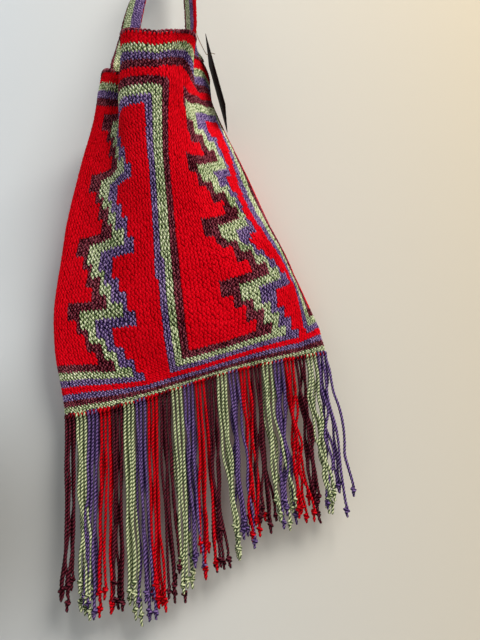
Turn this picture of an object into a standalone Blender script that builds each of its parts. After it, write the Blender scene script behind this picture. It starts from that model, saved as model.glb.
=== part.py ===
"""A looped wool string bag, hanging by its shoulder strap.

Metres, +Z up, +X to the right and -Y to the front. The origin is the point at
the top of the strap's loop where the strap bears on whatever the bag hangs from.
The cloth is a tube of stitches, flat and closed at the hem, whose mouth hangs
open in folds: a lip that leans out to the front, a deep valley on its left and
a flank that falls back on its right.
"""

import math
import random

import bmesh
import bpy
import numpy as np
from mathutils import Matrix

MM = 0.001
TOUCH_GAP = 0.3 * MM

# Cloth of the bag, laid flat: stitches round the tube and rows from mouth to hem
STITCHES_ROUND = 160
ROWS = 82
STITCH_WIDTH = 3.6 * MM
ROW_HEIGHT = 4.6 * MM
CLOTH_THICKNESS = 3.0 * MM
HEM_GAP = 2.0 * MM
ROWS_PER_FACET = 4

# Drop from the hang point to the level of the mouth
MOUTH_DROP = 270.0 * MM

# Strap: a band of stitches. Each end sits on the rim along three facets of the
# cloth, from one facet's edge to another, its back edge first
STRAP_WIDTH = 36.0 * MM
STRAP_THICKNESS = 3.5 * MM
STRAP_CURL = 5.0 * MM
STRAP_SEAT = 1.1 * MM
STRAP_UPRIGHT = 8.0 * MM
STRAP_LEFT_FACETS = (2, 5)
STRAP_RIGHT_FACETS = (24, 21)
STRAP_FACETS_ALONG = 40

# Fringe: bunches of cords side by side under the hem
BUNCHES = 23
STRANDS_PER_LAYER = 3
LAYERS = 2
STRAND_WIDTH = 2.9 * MM
LAYER_PITCH = 3.9 * MM
BUNCH_GAP = 0.5 * MM
KNOT_HEIGHT = 9.0 * MM
FRINGE_LENGTH = 178.0 * MM
FRINGE_SPREAD = 12.0 * MM
STRAND_SEGMENTS = 4
# How far a bunch waves along the hem and across it, and one strand in its bunch
BUNCH_WAVE = (0.3 * MM, 1.5 * MM)
STRAND_WAVE = 0.2 * MM
FRINGE_SEED = 7

# Swing tag: a thin card on a thread, leaning out beside the bag's right flank. It
# hangs where its hole's upper edge bears on the thread: x, y and the rise above
# the mouth's level
TAG_LENGTH = 103.0 * MM
TAG_WIDTH = 48.0 * MM
TAG_THICKNESS = 0.6 * MM
TAG_LEAN = math.radians(8.6)
TAG_HOLE_RADIUS = 2.0 * MM
TAG_HOLE_INSET = 6.0 * MM
TAG_HANG_PLACE = (35.0 * MM, -2.0 * MM, 52.0 * MM)
THREAD_RADIUS = 0.6 * MM
THREAD_KNOT_RADIUS = 1.5 * MM
THREAD_KNOT_REACH = 3.4 * MM
# Where along the strap the thread is tied, and how it bows out before the hole
THREAD_SHARE = 0.96
THREAD_LOOP = (5.0, -6.0, 3.0)
THREAD_HOLE_RUN = 2.5 * MM
THREAD_POINTS = 22

# How the cloth hangs. Each row of the table gives the outer face at thirteen
# stitches round the bag, as x, y and the drop below the mouth's level, in
# millimetres, for a bag of the size named here; another size stretches it.
DRAPE_WIDTH = 288.0 * MM
DRAPE_HEIGHT = 377.0 * MM
FOLD_STITCHES = (0, 7, 14, 25, 36, 48, 65, 80, 92, 108, 120, 132, 148)
DRAPE = {
    0: ((-84, -38, 1), (-73, -43, 2), (-56, -29, -2), (-53, -74, -10), (-14, -82, -5),
        (24, -75, 2), (12, -42, -14), (26, -12, -31), (33, 16, -25), (16, 39, -8),
        (-20, 28, -4), (-62, 40, -2), (-94, 8, 0)),
    13: ((-100, -22, 53), (-87, -27, 57), (-69, -28, 54), (-59, -55, 46), (-20, -63, 47),
         (10, -52, 60), (25, -16, 40), (38, 10, 25), (35, 36, 32), (6, 44, 45),
         (-32, 32, 52), (-68, 44, 55), (-108, 16, 54)),
    32: ((-130, -2, 139), (-112, -7, 148), (-87, -16, 147), (-54, -37, 141), (-19, -43, 142),
         (15, -34, 152), (52, -1, 126), (73, 24, 111), (66, 46, 114), (17, 48, 130),
         (-24, 42, 138), (-66, 48, 142), (-122, 32, 140)),
    57: ((-154, 20, 266), (-138, 14, 269), (-112, 10, 271), (-62, 2, 272), (-20, -4, 268),
         (32, 1, 262), (96, 17, 240), (117, 34, 228), (101, 49, 232), (41, 50, 249),
         (-10, 49, 259), (-58, 50, 265), (-122, 45, 268)),
}

# The hem, where front and back meet: x and drop at the front's stitches
HEM_Y = 32.0 * MM
HEM_CORNER_STITCHES = 2
HEM = ((-145, 370), (-121, 368), (-96, 365), (-57, 357), (-17, 348), (24, 339), (83, 331), (134, 327))

# Strap's path from the left end to the right one: the middle of its outer face
# as x, y and drop below the hang point in millimetres, and the way it is turned
# about the vertical in degrees, from facing front at 0 to edge-on at -90. It is
# drawn for the mouth's drop named here, and another drop stretches it.
STRAP_PATH_DROP = 270.0 * MM
STRAP_PATH = (
    (-57, -31, 236, -12), (-53, -25, 201, -20), (-44, -17, 140, -26),
    (-28, -8, 72, -52), (-13, -2, 26, -84), (-8, 0, 6, -90),
    (8, 0, 6, -90), (12, -1, 26, -88), (16, -5, 80, -76),
    (19, -10, 141, -66), (19, -14, 202, -68), (21, -15, 220, -84),
)

COLOURS = {
    "red": (0.60, 0.01, 0.02),
    "maroon": (0.10, 0.015, 0.03),
    "green": (0.42, 0.50, 0.22),
    "purple": (0.13, 0.08, 0.27),
    "card": (0.015, 0.012, 0.012),
    "thread": (0.45, 0.30, 0.15),
}
FRINGE_COLOURS = ("maroon", "green", "purple", "red")


def clear_scene():
    for obj in list(bpy.data.objects):
        bpy.data.objects.remove(obj, do_unlink=True)


def new_collection(name):
    collection = bpy.data.collections.new(name)
    bpy.context.scene.collection.children.link(collection)
    return collection


def material(name, colour, roughness=0.9):
    mat = bpy.data.materials.new(name)
    mat.use_nodes = True
    shader = mat.node_tree.nodes["Principled BSDF"]
    shader.inputs["Base Color"].default_value = (*colour, 1.0)
    shader.inputs["Roughness"].default_value = roughness
    shader.inputs["Metallic"].default_value = 0.0
    return mat


def smooth_path(knots, values, at, period=None):
    """Smooth curve through the values at the knots, read at one place."""
    knots = list(knots)
    values = [np.array(value, dtype=float) for value in values]
    if period is not None:
        at = at % period
        knots = [knots[-2] - period, knots[-1] - period] + knots
        knots += [knots[2] + period, knots[3] + period]
        values = values[-2:] + values + values[:2]
    last = len(knots) - 1
    i = min(max(int(np.searchsorted(knots, at, side="right")) - 1, 0), last - 1)

    def slope(k):
        lower, upper = max(k - 1, 0), min(k + 1, last)
        return (values[upper] - values[lower]) / (knots[upper] - knots[lower])

    span = knots[i + 1] - knots[i]
    t = (at - knots[i]) / span
    start = (2 * t**3 - 3 * t**2 + 1) * values[i] + (t**3 - 2 * t**2 + t) * span * slope(i)
    end = (3 * t**2 - 2 * t**3) * values[i + 1] + (t**3 - t**2) * span * slope(i + 1)
    return start + end


def to_metres(x, y, drop):
    """A place in the drape's table, stretched to this bag's size."""
    return (x * MM * width_ratio(), y * MM * width_ratio(), -MOUTH_DROP - drop * MM * height_ratio())


def hem_point(stitch):
    """Outer face at the hem: the front's line, moved to the front or the back."""
    stitch %= STITCHES_ROUND
    half = STITCHES_ROUND / 2
    from_corner = min(stitch, abs(half - stitch), STITCHES_ROUND - stitch)
    depth = (CLOTH_THICKNESS + HEM_GAP / 2) * min(1.0, from_corner / HEM_CORNER_STITCHES)
    places = [to_metres(x, 0, drop) for x, drop in HEM]
    point = smooth_path(FOLD_STITCHES[:len(HEM)], places, min(stitch, STITCHES_ROUND - stitch))
    point[1] = HEM_Y + (-depth if stitch < half else depth)
    return point


def bag_point(stitch, row):
    """Outer face of the cloth at a stitch round the bag and a row down it."""
    rings = []
    for places in DRAPE.values():
        ring = [to_metres(*place) for place in places]
        rings.append(smooth_path(FOLD_STITCHES, ring, stitch, period=STITCHES_ROUND))
    rings.append(hem_point(stitch))
    return smooth_path([*DRAPE, ROWS], rings, row)


def width_ratio():
    return STITCHES_ROUND / 2 * STITCH_WIDTH / DRAPE_WIDTH


def height_ratio():
    return ROWS * ROW_HEIGHT / DRAPE_HEIGHT


def object_from_mesh(name, bm, mat, collection):
    mesh = bpy.data.meshes.new(name)
    bm.to_mesh(mesh)
    bm.free()
    obj = bpy.data.objects.new(name, mesh)
    mesh.materials.append(mat)
    collection.objects.link(obj)
    mesh.shade_smooth()
    mesh.set_sharp_from_angle(angle=math.radians(50))
    return obj


def thicken(obj, thickness):
    shell = obj.modifiers.new("Thickness", "SOLIDIFY")
    shell.thickness = thickness
    shell.offset = -1.0


def build_bag_body(collection, mat):
    """Tube of cloth through the drape, closed by a strip along the hem.

    Each facet round it is as wide as one bunch, so each bunch lies along one.
    """
    around = 2 * BUNCHES
    down = round(ROWS / ROWS_PER_FACET)
    bm = bmesh.new()
    rings = []
    for k in range(down + 1):
        row = ROWS * k / down
        rings.append([bm.verts.new(bag_point(facet_edge(i), row)) for i in range(around)])
    for upper, lower in zip(rings, rings[1:]):
        for i in range(around):
            j = (i + 1) % around
            bm.faces.new((upper[i], lower[i], lower[j], upper[j]))
    hem = rings[-1]
    for i in range(BUNCHES):
        front, back = (hem[i], hem[i + 1]), (hem[(around - i - 1) % around], hem[(around - i) % around])
        corners = [front[0], back[1], back[0], front[1]]
        bm.faces.new(list(dict.fromkeys(corners)))
    body = object_from_mesh("bag_body", bm, mat, collection)
    thicken(body, CLOTH_THICKNESS)
    return body


def facet_edge(index):
    """Stitch at which a facet of the cloth begins: each is as wide as one bunch."""
    return STITCHES_ROUND / 2 * index / BUNCHES


def strap_end(edges, across):
    """Strap's seat on the rim and the place straight above, where it turns away."""
    back, front = edges
    point = bag_point(facet_edge(back + (across + 0.5) * (front - back)), 0)
    seat = point + np.array((0.0, 0.0, STRAP_SEAT))
    return seat, seat + np.array((0.0, 0.0, STRAP_UPRIGHT))


def strap_line(across):
    """Points of one line along the strap's outer face, across from -0.5 to 0.5."""
    points = list(strap_end(STRAP_LEFT_FACETS, across))
    half = len(STRAP_PATH) // 2
    for index, (x, y, drop, turn) in enumerate(STRAP_PATH):
        angle = math.radians(turn)
        side = np.array((math.cos(angle), math.sin(angle), 0.0))
        outward = np.array((math.sin(angle), -math.cos(angle), 0.0))
        if index == half:
            points.append(np.array((0.0, -across * STRAP_WIDTH, STRAP_THICKNESS)))
        if index >= half:
            outward = -outward
        share = drop * MM / STRAP_PATH_DROP
        centre = np.array((x * MM, y * MM, -share * MOUTH_DROP))
        curl = STRAP_CURL * (1 - 4 * across**2) * min(1.0, share * 3)
        points.append(centre + side * across * STRAP_WIDTH + outward * curl)
    points += reversed(strap_end(STRAP_RIGHT_FACETS, across))
    return points


def strap_knots():
    """Share of the strap's length at which each point of its lines lies."""
    middle = strap_line(0.0)
    steps = [float(np.linalg.norm(b - a)) for a, b in zip(middle, middle[1:])]
    return [sum(steps[:i]) / sum(steps) for i in range(len(middle))]


def strap_point(across, along):
    """Outer face of the strap: across from -0.5 to 0.5, along from 0 to 1."""
    return smooth_path(strap_knots(), strap_line(across), along)


def build_strap(collection, mat):
    """Band lofted from the rim's left side over the hang point to its right side."""
    bm = bmesh.new()
    grid = []
    facets = abs(STRAP_LEFT_FACETS[1] - STRAP_LEFT_FACETS[0])
    places = [i / facets - 0.5 for i in range(facets + 1)]
    knots = strap_knots()
    stations = [0.0, *np.linspace(knots[1], knots[-2], STRAP_FACETS_ALONG - 1), 1.0]
    for along in stations:
        grid.append([bm.verts.new(strap_point(across, along)) for across in places])
    for lower, upper in zip(grid, grid[1:]):
        for i in range(facets):
            bm.faces.new((lower[i], lower[i + 1], upper[i + 1], upper[i]))
    strap = object_from_mesh("strap", bm, mat, collection)
    thicken(strap, STRAP_THICKNESS)
    return strap


def alternate_cuts(count, width, pitch):
    """Cuts of a bar into strands of one width at a pitch, with margins between."""
    cuts = []
    for i in range(count):
        middle = (i - (count - 1) / 2) * pitch
        cuts += [middle - width / 2, middle + width / 2]
    return cuts


def build_bunch(index, collection, mat, rng):
    """Bar of knots along the hem with two layers of strands hanging from it."""
    half = STITCHES_ROUND / 2
    left = hem_point(half * index / BUNCHES)
    right = hem_point(half * (index + 1) / BUNCHES)
    left[1] = right[1] = HEM_Y
    run = right - left
    length = float(np.linalg.norm(run))
    along = run / length
    origin = (left + right) / 2 - np.array((0.0, 0.0, TOUCH_GAP))
    lane = (length - BUNCH_GAP) / STRANDS_PER_LAYER
    xs = alternate_cuts(STRANDS_PER_LAYER, min(STRAND_WIDTH, lane * 0.8), lane)
    ys = alternate_cuts(LAYERS, STRAND_WIDTH, LAYER_PITCH)
    bm = bmesh.new()

    def place(x, y, z):
        return origin + along * x + np.array((0.0, y, z))

    grid = [[bm.verts.new(place(x, y, -KNOT_HEIGHT)) for x in xs] for y in ys]
    cells = {}
    for j in range(len(ys) - 1):
        for i in range(len(xs) - 1):
            cells[i, j] = bm.faces.new((grid[j][i], grid[j + 1][i], grid[j + 1][i + 1], grid[j][i + 1]))
    top = bmesh.ops.extrude_face_region(bm, geom=list(cells.values()), use_keep_orig=True)
    for item in top["geom"]:
        if isinstance(item, bmesh.types.BMVert):
            item.co.z += KNOT_HEIGHT
    reach = FRINGE_LENGTH - KNOT_HEIGHT + FRINGE_SPREAD * rng.uniform(-1, 1)
    wave = [[rng.uniform(-1, 1) * size for size in BUNCH_WAVE] for _ in range(STRAND_SEGMENTS)]
    for (i, j), face in cells.items():
        if i % 2 == 0 and j % 2 == 0:
            hang_strand(bm, face, reach + 0.5 * FRINGE_SPREAD * rng.uniform(-1, 1), wave, rng)
    bmesh.ops.recalc_face_normals(bm, faces=bm.faces[:])
    colour = FRINGE_COLOURS[index % len(FRINGE_COLOURS)]
    return object_from_mesh(f"fringe_bunch_{index + 1:02d}_{colour}", bm, mat, collection)


def hang_strand(bm, face, reach, wave, rng):
    """Extrude one strand down from its cell, through its bunch's wave and its own."""
    place = np.zeros(2)
    for step in wave:
        result = bmesh.ops.extrude_discrete_faces(bm, faces=[face])
        face = result["faces"][0]
        own = np.array([rng.uniform(-1, 1) * STRAND_WAVE for _ in step])
        shift = step + own - place
        place = place + shift
        for vert in face.verts:
            vert.co.x += shift[0]
            vert.co.y += shift[1]
            vert.co.z -= reach / STRAND_SEGMENTS


def tag_frame():
    """Where the card hangs, its downward axis and its normal."""
    x, y, rise = TAG_HANG_PLACE
    hang = np.array((x, y, -MOUTH_DROP + rise))
    down = np.array((math.sin(TAG_LEAN), 0.0, -math.cos(TAG_LEAN)))
    normal = np.array((math.cos(TAG_LEAN), 0.0, math.sin(TAG_LEAN)))
    return hang, down, normal


def build_swing_tag(collection, cutters, mat):
    """Thin card with a punched hole; its origin is where the thread bears it."""
    hang, down, _ = tag_frame()
    bpy.ops.mesh.primitive_cube_add(size=1.0)
    card = bpy.context.object
    card.name = "swing_tag"
    card.scale = (TAG_THICKNESS, TAG_WIDTH, TAG_LENGTH)
    bpy.ops.object.transform_apply(location=False, rotation=False, scale=True)
    above = TAG_HOLE_INSET - TAG_HOLE_RADIUS
    card.data.transform(Matrix.Translation((0.0, 0.0, above - TAG_LENGTH / 2)))
    card.location = hang
    card.rotation_euler = (0.0, -TAG_LEAN, 0.0)
    move_to(card, collection)
    card.data.materials.append(mat)

    bpy.ops.mesh.primitive_cylinder_add(vertices=16, radius=TAG_HOLE_RADIUS, depth=10 * TAG_THICKNESS)
    punch = bpy.context.object
    punch.name = "tag_hole_cutter"
    punch.location = hang + down * TAG_HOLE_RADIUS
    punch.rotation_euler = (0.0, math.pi / 2 - TAG_LEAN, 0.0)
    punch.hide_render = True
    punch.display_type = "WIRE"
    move_to(punch, cutters)

    cut = card.modifiers.new("Hole", "BOOLEAN")
    cut.operation = "DIFFERENCE"
    cut.solver = "EXACT"
    cut.object = punch
    return card


def move_to(obj, collection):
    for owner in list(obj.users_collection):
        owner.objects.unlink(obj)
    collection.objects.link(obj)


def build_thread(collection, mat):
    """Thread from the strap's front edge through the card's hole to its knot."""
    hang, down, normal = tag_frame()
    edge = strap_point(0.5, THREAD_SHARE)
    start = edge + np.array((THREAD_RADIUS + TOUCH_GAP, -THREAD_RADIUS, 0.0))
    seat = hang + down * (THREAD_RADIUS + TOUCH_GAP)
    knot = seat + normal * THREAD_KNOT_REACH
    near_hole = seat - normal * THREAD_HOLE_RUN
    route = [start, start + np.array(THREAD_LOOP) * MM, near_hole, seat, knot]
    steps = [float(np.linalg.norm(b - a)) for a, b in zip(route, route[1:])]
    knots = [sum(steps[:i]) for i in range(len(route))]
    curve = bpy.data.curves.new("tag_thread", "CURVE")
    curve.dimensions = "3D"
    curve.bevel_depth = THREAD_RADIUS
    curve.bevel_resolution = 2
    curve.use_fill_caps = True
    spline = curve.splines.new("POLY")
    spline.points.add(THREAD_POINTS - 1)
    for i, point in enumerate(spline.points):
        share = i / (THREAD_POINTS - 1)
        place = smooth_path(knots, route, share * knots[-1])
        point.co = (*place, 1.0)
        point.radius = 1.0 if i < THREAD_POINTS - 1 else THREAD_KNOT_RADIUS / THREAD_RADIUS
    thread = bpy.data.objects.new("tag_thread", curve)
    curve.materials.append(mat)
    collection.objects.link(thread)
    return thread


def main():
    clear_scene()
    parts = new_collection("string_bag")
    cutters = new_collection("cutters")
    wool = {name: material("wool_" + name, COLOURS[name]) for name in FRINGE_COLOURS}
    build_bag_body(parts, wool["red"])
    build_strap(parts, material("wool_strap", COLOURS["purple"]))
    rng = random.Random(FRINGE_SEED)
    for index in range(BUNCHES):
        build_bunch(index, parts, wool[FRINGE_COLOURS[index % len(FRINGE_COLOURS)]], rng)
    build_swing_tag(parts, cutters, material("black_card", COLOURS["card"], roughness=0.5))
    build_thread(parts, material("tan_thread", COLOURS["thread"]))


main()
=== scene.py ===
"""Looks of the looped wool string bag: stitches, cords, thread, card, stage and camera.

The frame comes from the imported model, in metres: +Z up, +X to the right, -Y to the
front, and the origin where the strap bears on what the bag hangs from. The shapes
repeat the source's numbers, so the stitches follow the solid's own folds, apart from
small moves of the front lip, the right flank and the lowest rows.
"""

import math
import random

import bpy
import numpy as np
from mathutils import Matrix, Vector


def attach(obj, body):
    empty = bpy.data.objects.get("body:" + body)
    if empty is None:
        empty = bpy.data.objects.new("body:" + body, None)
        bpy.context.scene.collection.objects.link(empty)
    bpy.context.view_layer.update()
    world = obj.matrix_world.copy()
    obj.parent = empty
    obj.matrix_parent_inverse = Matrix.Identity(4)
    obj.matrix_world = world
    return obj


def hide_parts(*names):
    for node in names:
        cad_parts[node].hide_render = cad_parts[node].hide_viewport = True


MM = 0.001

# Cloth: stitches round the tube, rows from mouth to hem, and how it hangs. Each row
# of the table gives the outer face at thirteen stitches, as x, y and drop in mm
STITCHES_ROUND = 160
ROWS = 82
CLOTH_THICKNESS = 3.0 * MM
HEM_GAP = 2.0 * MM
MOUTH_DROP = 270.0 * MM
FOLD_STITCHES = (0, 7, 14, 25, 36, 48, 65, 80, 92, 108, 120, 132, 148)
DRAPE = {
    0: ((-84, -38, 1), (-73, -43, 2), (-56, -29, -2), (-53, -74, -10), (-14, -82, -5),
        (24, -75, 2), (12, -42, -14), (26, -12, -31), (33, 16, -25), (16, 39, -8),
        (-20, 28, -4), (-62, 40, -2), (-94, 8, 0)),
    13: ((-100, -22, 53), (-87, -27, 57), (-69, -28, 54), (-59, -55, 46), (-20, -63, 47),
         (10, -52, 60), (25, -16, 40), (38, 10, 25), (35, 36, 32), (6, 44, 45),
         (-32, 32, 52), (-68, 44, 55), (-108, 16, 54)),
    32: ((-130, -2, 139), (-112, -7, 148), (-87, -16, 147), (-54, -37, 141), (-19, -43, 142),
         (15, -34, 152), (52, -1, 126), (73, 24, 111), (66, 46, 114), (17, 48, 130),
         (-24, 42, 138), (-66, 48, 142), (-122, 32, 140)),
    57: ((-154, 20, 266), (-138, 14, 269), (-112, 10, 271), (-62, 2, 272), (-20, -4, 268),
         (32, 1, 262), (96, 17, 240), (117, 34, 228), (101, 49, 232), (41, 50, 249),
         (-10, 49, 259), (-58, 50, 265), (-122, 45, 268)),
}
HEM_Y = 32.0 * MM
HEM_CORNER_STITCHES = 2
HEM = ((-145, 370), (-121, 368), (-96, 365), (-57, 357), (-17, 348), (24, 339), (83, 331), (134, 327))

# Motif: its columns in one repeat, and the stitches they fall on, as pairs of a column
# and its stitch. In the fold at the right the cloth is pulled, so there the stitches of
# the bent columns are given row by row
MOTIF_COLUMNS = 47.5
EVEN_LOW = ((-47.5, -8), (-31, 7.4), (-16, 18.6), (-7, 25.4))
BENT_COLUMNS = (0, 7, 16.5, 22.5, 28.5, 34.5, 40.5, 47.5)
BENT_ROWS = {
    13: (31, 38.4, 46, 47, 57, 66, 71, 74), 19: (31, 38.4, 46, 47.5, 57, 66, 70.5, 73),
    26: (31, 38.4, 45, 49.5, 59, 64.5, 67, 71), 33: (31, 38.4, 45.5, 51.7, 60, 64.6, 65.8, 68.5),
    40: (31, 38.4, 46.2, 52.2, 58.2, 61.3, 62.8, 66), 46: (31, 38.4, 46.5, 52.8, 58.4, 60.6, 62.6, 67),
    54: (32, 38.5, 47.3, 53.2, 59.3, 64.3, 67.6, 71), 60: (32, 38.5, 47.4, 53.4, 59.5, 65.4, 70.6, 73),
    73: (32, 38.5, 47.4, 53.4, 59.2, 65.2, 71, 73.6),
}
EVEN_HIGH = ((54.5, 79), (64, 88), (88, 108), (95, 112), (142.5, 152))

# Field of the motif: nested layers. Each has a straight bar at one side, a stair at the
# other and a level foot, and starts some rows and columns farther in than the last
LAYERS = 4
LAYER_ROWS = 2
LAYER_COLUMNS = 5
FIELD_TOP = 11
FIELD_FOOT = 67
BAR_COLUMNS = 7
STAIR_COLUMN = 16.5
STAIR_ROWS = 14
STEP_ROWS = 3.5
STEP_COLUMNS = 3

# Pull of the rows toward the hem, by row, and its share round the tube, by stitch
PULL_DOWN = ((52, 0), (57, 0.35), (60, 1.2), (63, 2.3), (66, 3.1), (68, 3.6), (71, 3.5), (73, 3.2),
             (75, 2.7), (77, 2.1), (79, 1.3), (82, 0))
PULL_ROUND = ((0, 0.45), (10, 0.5), (25, 1.1), (43, 1.2), (56, 1.0), (71, 0.95), (80, 0.35),
              (100, 0.8), (140, 0.8), (160, 0.45))

# How far the cloth is drawn in along its right flank, in mm by row, and the share by stitch
DRAWN_DOWN = ((14, 0), (24, 2), (32, 4), (45, 8.5), (58, 8.5), (66, 4.5), (74, 0))
DRAWN_ROUND = ((56, 0), (62, 0.15), (67, 0.5), (72, 0.85), (76, 1), (92, 1), (104, 0.5), (120, 0))

# How much higher the front lip's cloth lies than on the solid, in mm, by row and by stitch
LIFT_STITCHES = (14, 22, 26, 31, 36, 39, 42, 45, 48, 50, 56)
LIFT = {
    0: (0, 4, 4.5, 0, -2.5, 0.5, 2.5, 5.3, 4.8, 2, 0),
    3: (0, 5, 6, 0.5, -2.5, 2.3, 7.3, 11.8, 8.5, 4, 0),
    8.5: (0, 5.7, 6.7, 2.2, 0.5, 7, 11.6, 16.8, 12.7, 5.3, 0),
    12: (0, 6, 7, 3, 2, 2.3, 3.5, 4, -0.5, -2, 2.5),
    20: (0, 3, 4, 2, 1, 1, 1, 1.6, 1, 0, 1),
    30: (0, 0, 0, 0, 0, 0, 0, 0, 0, 0, 0),
}

# How far the lip's stitches lie to the right of their even places, in stitches, by row
SLIDE_STITCHES = (22, 31, 38.4, 45)
SLIDE = ((13, (0, 1, 2.5, 0)), (19, (0, 0.9, 1.4, 0)), (26, (0, 0.1, 0.3, 0)), (33, (0, 0, 0, 0)))

# Small unevenness of the cloth: swells, and the rows over which they fade at its edges
SWELLS = 14
SWELL_HEIGHT = 0.22 * MM
FADE_ROWS = 6

# Faces of the cloth under the stitches, in darker copies of the yarns as painted shade
# between them, as heights over the solid's outer face, and the face on which the inner
# stitches of the mouth lie, with their rows
SHELL_OUTER = -1.25 * MM
SHELL_INNER = -CLOTH_THICKNESS
INSIDE_FACE = -3.1 * MM
INSIDE_LIFT = 0.9 * MM
INSIDE_ROWS = 18
STITCH_LIFT = 0.25 * MM

# Strokes: half a stitch's run and half its width, each in stitches and rows, and how
# much one stitch differs from the next in slant, size, place and height
STROKE_RUN = (0.36, 0.58)
STROKE_SIDE = (1.0, -0.36)
INSIDE_STROKE = ((0.305, 0.585), (0.296, -0.094))
STRAP_STROKE = ((0.6, 0.30), (-0.07, 0.40))
UNEVEN_SLANT = 0.16
UNEVEN_SIZE = 0.10
UNEVEN_PLACE = 0.05
UNEVEN_RISE = 0.12 * MM

# Loops over the rim: yarn, and their route in stitches, rows and height in mm
RIM_RADIUS = 1.2 * MM
RIM_SECTION = (1.0, 0.9, 1.0, 0.9, 1.0)
RIM_TURN = 9 * MM
RIM_RING = 1.1 * MM
RIM_LOOP = (
    (0.0, 0.55, -0.3), (0.12, 0.05, 0.35), (0.3, -0.25, -0.4), (0.5, -0.38, -1.5),
    (0.7, -0.25, -2.6), (0.88, 0.05, -3.4), (1.0, 0.55, -2.7),
)

# Strap: its path, seats on the rim and stitches. One edge is turned behind on the left
# run, from the share STRAP_TURNED across it, and sinks there by STRAP_TUCK
STRAP_WIDTH = 36.0 * MM
STRAP_THICKNESS = 3.5 * MM
STRAP_CURL = 5.0 * MM
STRAP_SEAT = 1.1 * MM
STRAP_UPRIGHT = 8.0 * MM
STRAP_LEFT_FACETS = (2, 5)
STRAP_RIGHT_FACETS = (24, 21)
STRAP_ROWS = 8
STRAP_STITCHES = 204
STRAP_TURNED = 0.34
STRAP_TURN_WIDTH = 0.05
STRAP_TUCK = 3.8 * MM
STRAP_FLAT = 0.15
STRAP_BAND_OUTER = -1.1 * MM
STRAP_BAND_INNER = -2.6 * MM
STRAP_INSIDE_FACE = -3.6 * MM
STRAP_STITCH_LIFT = 0.2 * MM
STRAP_PATH_DROP = 270 * MM
STRAP_PATH = (
    (-57, -31, 236, -12), (-53, -25, 201, -20), (-44, -17, 140, -26),
    (-28, -8, 72, -52), (-13, -2, 26, -84), (-8, 0, 6, -90),
    (8, 0, 6, -90), (12, -1, 26, -88), (16, -5, 80, -76),
    (19, -10, 141, -66), (19, -14, 202, -68), (21, -15, 220, -84),
)

# Fringe: bunches of cords under the hem, and the height of their ends along x, in mm.
# A strand's lane beside the next and its knot's reach down to the tail are also in mm
BUNCHES = 23
CORDS_PER_BUNCH = 3
CORD_RADIUS = 1.65 * MM
CORD_TURN = 7.2 * MM
CORD_RING = 0.83 * MM
CORD_SECTION = (1.0, 0.78, 0.78, 1.0, 0.78, 0.78)
CORD_LANE = 4.0
CORD_STEPS = 11
KNOT_REACH = 4.2
LAYER_HALF_PITCH = 1.95 * MM
FRINGE_SEED = 11

# How the fringe's strands wander, in mm: the tail under a knot, the drift and the bend
# of a strand, the few that stray farther, and how much looser they hang to the right
CORD_TAIL = (2.0, 6.0)
CORD_DRIFT = 3.4
CORD_BEND = 1.8
STRAY_SHARE = 0.12
STRAY = 1.9
LOOSER = 1.1
LOOSE_FROM = -0.02
LOOSE_SPAN = 0.12
FRINGE_ENDS = (
    (-145, -810), (-128, -822), (-112, -825), (-93, -819), (-75, -831), (-60, -831), (-50, -818),
    (-27, -809), (-10, -804), (15, -785), (43, -771), (57, -768), (81, -757), (114, -752), (137, -753),
)

# Swing tag and its thread, from its share along the strap to the knot past the hole.
# The start, the loop, the seat in the hole and what lies past it are in mm
TAG_LEAN = math.radians(8.6)
TAG_HANG = (35.0 * MM, -2.0 * MM, -218.0 * MM)
THREAD_RADIUS = 0.45 * MM
THREAD_SECTION = (1.0, 0.8, 1.0, 0.8, 1.0, 0.8)
THREAD_TURN = 2.4 * MM
THREAD_RING = 0.8 * MM
THREAD_SHARE = 0.96
THREAD_START = (0.9, -0.6, 0.0)
THREAD_LOOP = (1.2, -4.0, -13.0)
THREAD_SEAT = 1.3
THREAD_HOLE_RUN = 2.5 * MM
THREAD_PAST = ((2.8, (0, 0, 0)), (4.6, (0, 0, 0.3)), (8.4, (0, -0.8, 1.6)))

# Yarn colours, 0 to 255: dark, middle and light, the dark end partly painted shade and the
# light end partly a painted highlight, besides the yarn's own spread of tone. The fringe's
# strands are deeper in colour, and the cloth under the stitches is a share as light, which
# is painted shade between the stitches
YARNS = {
    "red": ((182, 0, 10), (230, 0, 22), (252, 16, 40)),
    "maroon": ((46, 2, 12), (110, 32, 50), (164, 88, 102)),
    "green": ((92, 112, 70), (186, 206, 148), (252, 255, 224)),
    "purple": ((52, 38, 86), (112, 86, 150), (182, 158, 206)),
}
STRANDS = {
    "red": ((120, 0, 4), (196, 0, 14), (236, 14, 34)),
    "maroon": ((22, 0, 6), (70, 14, 28), (112, 44, 58)),
    "green": ((62, 78, 50), (152, 168, 118), (230, 236, 192)),
    "purple": ((34, 24, 60), (88, 66, 124), (136, 110, 168)),
}
# Painted shade: the cloth under the stitches is each yarn made darker by this share, standing in for the shade between
# stitches
CORE_PAINTED_SHADE = {"red": 0.88, "maroon": 0.36, "green": 0.36, "purple": 0.4}

# How strongly the plies show, as painted shade in their grooves and painted highlight on
# their crests, and the drift of colour, by yarn
PLY_PAINTED_SHADE = {"red": 0.34, "maroon": 0.5, "green": 0.62, "purple": 0.6}
GAIN = {"red": 0.45, "maroon": 1.0, "green": 1.1, "purple": 1.0}

# Stroke of one stitch, by yarn: its length, half its width in stitches, and its depth
STROKES = {
    "red": (1.08, 0.40, 0.5), "maroon": (1.05, 0.33, 0.85),
    "green": (1.25, 0.29, 0.95), "purple": (1.08, 0.32, 0.9),
}
NAMES = ("red", "maroon", "green", "purple")
CORD_ORDER = ("maroon", "green", "purple", "red")
RED, MAROON, GREEN, PURPLE = range(4)
STRIPES = (MAROON, GREEN, GREEN, GREEN, PURPLE, PURPLE, PURPLE, RED)
LAYER_COLOURS = (RED, MAROON, GREEN, PURPLE, RED)

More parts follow.
